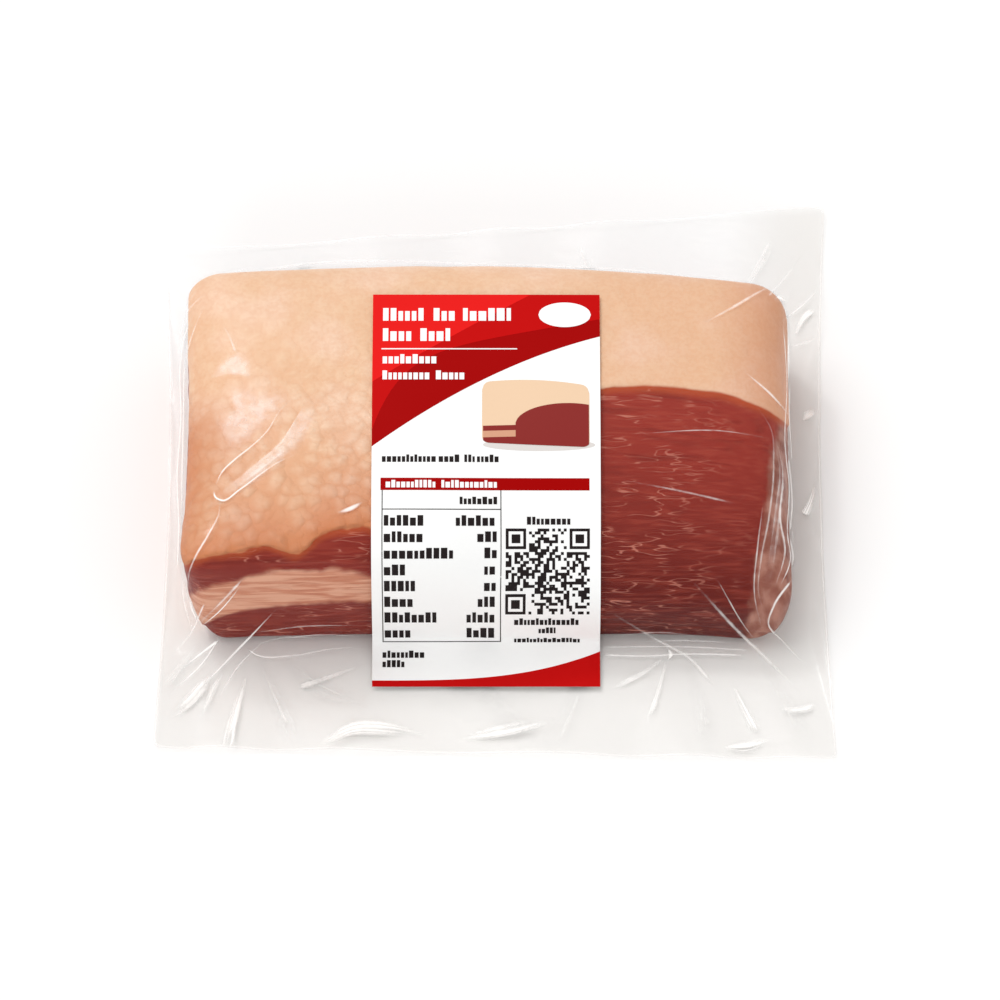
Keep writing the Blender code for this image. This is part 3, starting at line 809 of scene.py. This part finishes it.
class FilmSurface:
    """Finds points of the film, and the way that the film faces there."""

    def __init__(self, mesh):
        points = [vertex.co[:] for vertex in mesh.vertices]
        self.tree = BVHTree.FromPolygons(points, [face.vertices[:] for face in mesh.polygons])

    def under(self, across, up, side):
        """The point and the normal at a place in millimetres to the right and up, looking from this side."""
        start = ((SEEN_RIGHT * across + SEEN_UP * up) * MM + SEEN_OUT * 0.3) * side
        hit, normal, _, _ = self.tree.ray_cast(Vector(start), Vector(-SEEN_OUT * side))
        if hit is None:
            return None, None
        return np.array(hit), np.array(normal)

    def nearest(self, place):
        hit, normal, _, _ = self.tree.find_nearest(Vector(place))
        return np.array(hit), np.array(normal)


class FilmMarks:
    """The folds and sheens of the film, gathered as ribbons and patches that lie on it and whitened as painted
    highlights.
    """

    def __init__(self, surface):
        self.surface = surface
        self.side = FRONT
        self.pick = random.Random(3)
        self.points, self.faces, self.haze = [], [], []

    def join(self, rows):
        """Joins rows of points and their whiteness, faint haze and painted glint, into a strip, with a gap where it
        would leap off the film.
        """
        base, width = len(self.points), len(rows[0])
        for row in rows:
            for point, haze in row:
                self.points.append(point)
                self.haze.append(haze)
        for i in range(len(rows) - 1):
            if np.linalg.norm(rows[i + 1][0][0] - rows[i][0][0]) > LONGEST_STEP:
                continue
            for j in range(width - 1):
                a = base + i * width + j
                self.faces.append((a, a + width, a + width + 1, a + 1))

    def across(self, heading, facing):
        """The way across a fold on the film, longer where the film is seen at a slant."""
        out = SEEN_OUT * self.side
        ahead = (SEEN_RIGHT * heading[0] + SEEN_UP * heading[1]) * self.side
        ahead = ahead - out * (ahead @ facing) / max(out @ facing, 0.05)
        way = np.cross(facing, ahead)
        way /= np.linalg.norm(way)
        seen_share = np.linalg.norm(way - out * (way @ out))
        return way * min(1.0 / seen_share, MOST_WIDENING)

    def fold(self, course, width, white, swelling):
        """A fold along its course: a fine ridge, or a flat bundle of strands of uneven reach if it is broad. Its
        whiteness is a painted highlight.
        """
        course = np.array(course, float)
        lengths = np.concatenate([[0.0], np.cumsum(np.linalg.norm(np.diff(course, axis=0), axis=1))])
        along = np.linspace(0.0, lengths[-1], max(6, math.ceil(lengths[-1] / 0.8)) + 1)
        share = along / lengths[-1]
        courses = [curve_through(np.column_stack((lengths, course[:, axis]))) for axis in (0, 1)]
        line = np.column_stack([course_at(along) for course_at in courses])
        heading = np.gradient(line, axis=0)
        size = SWELLINGS[swelling](share)
        broad = width > BROAD_FOLD
        offsets = np.linspace(-1.0, 1.0, 15 if broad else 5)
        strands = [(1.0, 1.0)] * len(offsets)
        if broad:
            strands = [(self.pick.uniform(0.4, 1.2), self.pick.uniform(0.75, 1.0)) for _ in offsets]
        rows = []
        for i, (place_across, place_up) in enumerate(line):
            middle, facing = self.surface.under(place_across, place_up, self.side)
            if middle is None:
                continue
            way = self.across(heading[i], facing) * 0.5 * width * (0.3 + 0.7 * size[i]) * MM
            row = []
            for offset, (strand, reach) in zip(offsets, strands):
                crest = 1.0 - offset * offset
                fade = float(SWELLINGS[swelling](np.clip(share[i] / reach, 0.0, 1.0))) ** 0.6
                point, normal = self.surface.nearest(middle + way * offset)
                lift = 0.0 if broad else 0.16 * crest * size[i]
                row.append((point + normal * (0.10 + lift) * MM, white * strand * crest * fade))
            rows.append(row)
        if rows:
            self.join(rows)

    def sheen(self, outline_points, white):
        """A painted sheen: a white patch with a soft edge."""
        corners = np.array(outline_points, float)
        middle = corners.mean(axis=0)
        around = np.linspace(0.0, len(corners), 6 * len(corners) + 1)
        closed = np.vstack((corners[-1:], corners, corners[:2]))
        knots = np.arange(-1, len(corners) + 2)
        courses = [curve_through(np.column_stack((knots, closed[:, axis]))) for axis in (0, 1)]
        rim = np.column_stack([course_at(around) for course_at in courses])
        rows = []
        for place in rim:
            row = []
            for share, haze in ((0.02, 1.0), (0.40, 1.0), (0.65, 0.85), (0.85, 0.55), (1.02, 0.2), (1.2, 0.0)):
                point, normal = self.surface.under(*(middle + (place - middle) * share), self.side)
                row.append((point + normal * 0.10 * MM, haze * white))
            rows.append(row)
        self.join(rows)

    def bead(self, ring, width, white):
        """A fine welded line along the pouch's edge, drawn as a thin white ridge whose white is a painted highlight."""
        inward = (np.array((*SLAB_CENTRE, 0.0)) - ring) * (1.0, 1.0, 0.0)
        inward /= np.linalg.norm(inward, axis=1, keepdims=True)
        base = len(self.points)
        for point, way in zip(ring, inward):
            for share, crest in ((0.2, 0.0), (0.5, 1.0), (0.8, 0.0)):
                self.points.append(point + way * width * share * MM + (0.0, 0.0, 0.15 * MM * crest))
                self.haze.append(white * crest)
        count = len(ring)
        for i in range(count):
            for j in range(2):
                a, b = base + i * 3 + j, base + (i + 1) % count * 3 + j
                self.faces.append((a, b, b + 1, a + 1))

    def mesh(self):
        made = bpy.data.meshes.new("film_folds_and_glints")
        made.from_pydata([tuple(point) for point in self.points], [], self.faces)
        made.shade_smooth()
        set_field(made, "haze", np.array(self.haze))
        set_field(made, "tone", np.zeros(len(self.points)))
        set_field(made, "slack", np.zeros(len(self.points)))
        return made


def film_marks(upper, edge_ring):
    marks = FilmMarks(FilmSurface(upper))
    for course, width, white, swelling in FOLDS:
        marks.fold(course, width, white, swelling)
    for outline_points, white in SHEENS:
        marks.sheen(outline_points, white)
    marks.side = BACK
    for course, width, white, swelling in BACK_FOLDS:
        marks.fold(course, width, white, swelling)
    marks.bead(edge_ring, 1.1, 0.6)
    return marks.mesh()


# ---------------------------------------------------------------- the label


class LabelSurface:
    """Turns a place on the label into a point on the pouch: the label is laid on along the line it's seen along."""

    STEP = 1.0 * MM

    def __init__(self, mesh, lift):
        tree = BVHTree.FromPolygons([v.co[:] for v in mesh.vertices], [p.vertices[:] for p in mesh.polygons])
        self.columns = math.ceil(LABEL_WIDTH / self.STEP)
        self.rows = math.ceil(LABEL_LENGTH / self.STEP)
        self.points = np.zeros((self.rows + 1, self.columns + 1, 3))
        for i in range(self.rows + 1):
            for j in range(self.columns + 1):
                across = LABEL_LEFT + LABEL_WIDTH * j / self.columns
                up = LABEL_TOP - LABEL_LENGTH * i / self.rows
                start = SEEN_RIGHT * across + SEEN_UP * up + SEEN_OUT * 0.3
                hit, normal, _, _ = tree.ray_cast(Vector(start), Vector(-SEEN_OUT))
                self.points[i, j] = np.array(hit) + np.array(normal) * lift
        down = np.gradient(self.points, axis=0)
        right = np.gradient(self.points, axis=1)
        facing = np.cross(down, right)
        self.facing = facing / np.linalg.norm(facing, axis=2, keepdims=True)

    def at(self, x, y, layer):
        """The point at x across and y down the label in millimetres, this many print layers up."""
        j = np.clip(x * MM / LABEL_WIDTH, 0, 1) * self.columns
        i = np.clip(y * MM / LABEL_LENGTH, 0, 1) * self.rows
        j0 = np.minimum(j.astype(int), self.columns - 1)
        i0 = np.minimum(i.astype(int), self.rows - 1)
        s, t = (j - j0)[..., None], (i - i0)[..., None]

        def between(grid):
            upper = grid[i0, j0] * (1 - s) + grid[i0, j0 + 1] * s
            lower = grid[i0 + 1, j0] * (1 - s) + grid[i0 + 1, j0 + 1] * s
            return upper * (1 - t) + lower * t

        return between(self.points) + between(self.facing) * layer * 0.03 * MM


class Print:
    """The label's sheet and all that is printed on it, gathered as patches of plain colour."""

    def __init__(self, surface):
        self.surface = surface
        self.points, self.faces, self.colours = [], [], []
        self.count = 0

    def patch(self, left, right, top, foot, colour, layer=1, cell=1.2):
        """Fills from the top line to the foot line, each a number or a function of how far across it is."""
        columns = max(1, math.ceil((right - left) / cell))
        x = np.linspace(left, right, columns + 1)
        high = top(x) if callable(top) else np.full_like(x, top)
        low = foot(x) if callable(foot) else np.full_like(x, foot)
        low = np.maximum(low, high)
        rows = max(1, math.ceil(float((low - high).max()) / cell))
        share = np.linspace(0.0, 1.0, rows + 1)[:, None]
        y = high + (low - high) * share
        points = self.surface.at(np.broadcast_to(x, y.shape), y, layer)
        base = self.count
        for i in range(rows):
            for j in range(columns):
                a = base + i * (columns + 1) + j
                self.faces.append((a, a + columns + 1, a + columns + 2, a + 1))
                self.colours.append(colour)
        self.points.append(points.reshape(-1, 3))
        self.count += points.shape[0] * points.shape[1]

    def oval(self, x, y, half_width, half_height, colour, layer=1):
        """A filled oval."""

        def half(across):
            return half_height * np.sqrt(np.clip(1.0 - ((across - x) / half_width) ** 2, 0.0, 1.0))

        self.patch(x - half_width, x + half_width, lambda a: y - half(a), lambda a: y + half(a), colour, layer, 0.4)

    def words(self, left, right, top, foot, colour, pick, layer=2):
        """Short upright marks of uneven height in place of a line of words, with a gap now and then."""
        height = foot - top
        x = left
        while x < right - 0.3 * height:
            width = min(height * pick.uniform(0.34, 0.62), right - x)
            lift = height * pick.choice((0.0, 0.24, 0.24))
            self.patch(x, x + width, top + lift, foot, colour, layer)
            x += width + height * 0.16


def label_print(surface):
    """Lays out the label: red fields at the head and foot, and marks, bars and a table in place of its words."""
    pick = random.Random(7)
    sheet = Print(surface)
    width, length = LABEL_WIDTH / MM, LABEL_LENGTH / MM

    def red_foot(x):
        return 47.7 - 0.72 * x + 0.0033 * x * x

    def bright_foot(x):
        return np.maximum(27.5 - 0.60 * x + 0.0009 * x * x, 0.0)

    def middle_foot(x):
        return np.minimum(20.0 - 0.172 * x + 22.6 * np.exp(-x / 8.5), red_foot(x))

    def band_top(x):
        return 120.5 - 9.1 * (x / width) ** 3.2

    sheet.patch(0, width, 0, length, "white", 0, 1.0)
    sheet.patch(0, width, 0, red_foot, "dark_red", 1)
    sheet.patch(0, width, 0, middle_foot, "mid_red", 2)
    sheet.patch(0, 49.3, 0, bright_foot, "bright_red", 3)
    sheet.patch(0, width, band_top, length, "mid_red", 1)

    for left, right, top, foot in (
        (3.2, 16.4, 4.3, 8.3), (19.0, 25.9, 4.3, 8.3), (28.2, 43.2, 4.3, 8.3),
        (3.2, 12.6, 10.7, 14.7), (14.9, 24.6, 10.7, 14.7),
    ):
        sheet.words(left, right, top, foot, "white", pick, 4)
    sheet.patch(2.8, 45.1, 17.0, 17.35, "white", 4)
    sheet.words(3.2, 19.9, 18.9, 21.8, "white", pick, 4)
    sheet.words(3.2, 18.0, 24.0, 26.8, "white", pick, 4)
    sheet.words(19.8, 29.0, 24.0, 26.8, "white", pick, 4)
    sheet.oval(60.0, 6.4, 8.2, 3.9, "white", 4)

    for left, right in ((3.2, 19.9), (20.8, 27.8), (28.7, 31.9), (32.6, 40.1)):
        sheet.words(left, right, 50.2, 52.5, "black", pick)
    sheet.patch(2.8, 67.5, 57.4, 61.2, "dark_red", 1)
    sheet.words(4.4, 20.5, 58.1, 60.4, "white", pick)
    sheet.words(21.6, 39.1, 58.1, 60.4, "white", pick)
    print_table(sheet, pick)
    print_code(sheet, pick)
    print_picture(sheet)
    sheet.words(3.2, 16.4, 111.1, 113.4, "black", pick)
    sheet.words(3.2, 11.0, 114.2, 116.4, "black", pick)
    return sheet


def print_table(sheet, pick):
    """A ruled table with a mark at the left and at the right of each row."""
    left, right, top, head, foot = 3.2, 40.1, 61.2, 66.9, 108.2
    line = 0.3
    for x in (left, right - line):
        sheet.patch(x, x + line, top, foot, "black")
    for y in (head, foot - line):
        sheet.patch(left, right, y, y + line, "black")
    sheet.words(27.2, 38.8, 63.2, 65.5, "black", pick)
    left_widths = (12.9, 13.2, 22.7, 7.9, 10.7, 9.1, 16.1, 9.1)
    right_widths = (12.6, 6.0, 3.8, 3.8, 3.8, 5.7, 9.2, 9.2)
    for row, (first, second) in enumerate(zip(left_widths, right_widths)):
        y = 68.9 + 4.92 * row
        sheet.words(3.9, 3.9 + first, y, y + 3.2, "black", pick)
        sheet.words(38.6 - second, 38.6, y, y + 3.2, "black", pick)


def print_code(sheet, pick):
    """A square of random cells with three square corner marks, and short lines above and below it."""
    left, top, side, cells = 41.4, 72.9, 26.2, 29
    cell = side / cells
    corner = 7
    for row in range(cells):
        column = 0
        while column < cells:
            run = 0
            while column + run < cells and pick.random() < 0.5:
                run += 1
            at_mark = row < corner + 1 and (column < corner + 1 or column + run > cells - corner - 1)
            at_mark = at_mark or (row > cells - corner - 2 and column < corner + 1)
            if run and not at_mark:
                x, y = left + column * cell, top + row * cell
                sheet.patch(x, x + run * cell, y, y + cell, "black", 1)
            column += run + 1
    for column, row in ((0, 0), (cells - corner, 0), (0, cells - corner)):
        x, y = left + column * cell, top + row * cell
        for margin, colour, layer in ((0, "black", 1), (1, "white", 2), (2, "black", 3)):
            inset, size = margin * cell, (corner - 2 * margin) * cell
            sheet.patch(x + inset, x + inset + size, y + inset, y + inset + size, colour, layer)
    sheet.words(48.0, 61.5, 69.3, 71.7, "black", pick)
    sheet.words(44.2, 64.7, 100.3, 102.4, "black", pick)
    sheet.words(51.8, 57.1, 103.2, 105.0, "black", pick)
    sheet.words(44.2, 64.7, 106.5, 108.4, "black", pick)


def print_picture(sheet):
    """A small picture of the slab, as a few plain shapes."""
    left, right, foot = 34.2, 67.6, 47.8
    bend = 2.4

    def rounding(x, radius):
        """How far a rounded corner falls short of the edge, near either end of the picture."""
        inside = np.clip(np.minimum(x - left, right - x) / radius, 0.0, 1.0)
        return radius * (1.0 - np.sqrt(1.0 - (1.0 - inside) ** 2))

    def crown(x):
        return 26.9 + 0.045 * (x - 47.0) ** 2 / 10.0 + rounding(x, bend)

    def lean_top(x):
        return 41.0 - 6.8 * np.sqrt(np.clip(1.0 - ((x - 61.0) / 16.5) ** 2, 0.0, 1.0))

    def front_foot(x):
        return foot - 0.6 * rounding(x, bend) - 0.04 * (right - x)

    def stripe(depth):
        """A line along the front, this far below the rind's lower edge at the left."""
        return lambda x: 41.3 + depth - 0.03 * (x - left)

    sheet.oval(0.5 * (left + right) + 1.0, foot - 0.7, 17.5, 1.9, "pale_grey", 1)
    sheet.patch(left, right, crown, front_foot, "rind", 2, 0.5)
    sheet.patch(left + 0.3, 52.0, stripe(0.0), front_foot, "lean", 3, 0.5)
    sheet.patch(left + 0.3, 50.0, stripe(1.6), stripe(3.6), "fat", 4, 0.5)
    sheet.patch(44.6, right - 0.2, lean_top, front_foot, "lean", 5, 0.5)


# ---------------------------------------------------------------- putting it together

INKS = {
    "white": (252, 252, 251),
    "black": (38, 32, 32),
    "bright_red": (230, 28, 26),
    "mid_red": (195, 8, 8),
    "dark_red": (163, 0, 0),
    "rind": (238, 205, 172),
    "lean": (140, 48, 45),
    "fat": (214, 160, 130),
    "pale_grey": (222, 216, 212),
}


def build_label(film):
    surface = LabelSurface(film, 0.55 * MM)
    sheet = label_print(surface)
    mesh = bpy.data.meshes.new("label")
    mesh.from_pydata(np.vstack(sheet.points).tolist(), [], sheet.faces)
    mesh.shade_smooth()
    names = list(INKS)
    mesh.polygons.foreach_set("material_index", [names.index(colour) for colour in sheet.colours])
    inks = [plain_material("print_" + name, linear(*INKS[name]), 0.55) for name in names]
    piece = add_object("paper_label", mesh, *inks)
    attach(piece, "root")
    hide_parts("label")


def film_fields(mesh, tone):
    """Where a sheet is greyer and slacker: in the margin, and on the flanks rather than the top. The grey falls at the
    front and right, away from the light, as painted shade.
    """
    points = coordinates(mesh)
    low = smooth(12.0 * MM, 4.0 * MM, points[:, 2])
    flank = smooth(0.85, 0.35, normals(mesh)[:, 2])
    across, up = seen(points)
    under_label = smooth(3.0, 0.0, np.abs(across + 2.7) - 35.5) * smooth(3.0, 0.0, np.abs(up + 3.3) - 61.2)
    away_from_light = np.maximum(smooth(0.0, -55.0, up), smooth(70.0, 100.0, across))
    set_field(mesh, "haze", 0.05 * low)
    # Painted shade: the margin greys only at the front and right, away from the light.
    set_field(mesh, "tone", tone * low * away_from_light)
    set_field(mesh, "slack", (0.25 + 0.75 * np.maximum(low, 0.6 * flank)) * (1.0 - under_label))


def build_pack():
    upper, lower, edge_ring = film_meshes()
    build_label(upper)
    folds = film_marks(upper, edge_ring)
    film_fields(upper, 1.0)
    film_fields(lower, 0.0)
    film = film_material()
    pieces = [add_object("meat", meat_mesh(), meat_material())]
    for mesh in (upper, lower, folds):
        pieces.append(add_object(mesh.name, mesh, film))
    for piece in pieces:
        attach(piece, "root")
        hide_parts("vacuum_pouch")


def softbox(name, place, size, power):
    """Adds a square light that faces the pack, and returns it."""
    light = bpy.data.lights.new(name, "AREA")
    light.shape, light.size, light.energy = "SQUARE", size, power
    lamp = bpy.data.objects.new(name, light)
    lamp.location = place
    lamp.rotation_euler = Vector(place).to_track_quat("Z", "Y").to_euler()
    bpy.context.scene.collection.objects.link(lamp)
    return lamp


def build_studio():
    bpy.ops.mesh.primitive_plane_add(size=6.0, location=(0.0, 0.0, -0.3 * MM))
    floor = bpy.context.object
    floor.name = "floor"
    floor.data.materials.append(plain_material("floor", (0.95, 0.95, 0.945), 0.9, 0.0))

    world = bpy.data.worlds.new("studio")
    world.use_nodes = True
    world.node_tree.nodes["Background"].inputs["Color"].default_value = (1.0, 1.0, 1.0, 1.0)
    world.node_tree.nodes["Background"].inputs["Strength"].default_value = 0.68
    bpy.context.scene.world = world

    key = bpy.data.lights.new("key", "SUN")
    key.energy = 1.05
    key.angle = math.radians(50.0)
    lamp = bpy.data.objects.new("key", key)
    lamp.rotation_euler = Vector((-0.42, 0.30, 1.0)).to_track_quat("Z", "Y").to_euler()
    bpy.context.scene.collection.objects.link(lamp)
    softbox("back_left", (-0.9, 1.0, 1.9), 0.25, 5.0)
    softbox("front", (-0.3, -2.2, 1.2), 1.0, 10.0).visible_glossy = False


def build_camera():
    scene = bpy.context.scene
    camera = bpy.data.cameras.new("camera")
    distance, frame_width = 3.2, 0.3156
    camera.lens = camera.sensor_width * distance / frame_width
    camera.clip_end = 20.0
    holder = bpy.data.objects.new("camera", camera)
    aim = SEEN_RIGHT * 1.6 * MM - SEEN_UP * 6.1 * MM
    holder.location = aim + SEEN_OUT * distance
    holder.rotation_euler = Vector(SEEN_OUT).to_track_quat("Z", "Y").to_euler()
    scene.collection.objects.link(holder)
    scene.camera = holder
    scene.view_settings.view_transform = "Standard"


build_pack()
build_studio()
build_camera()
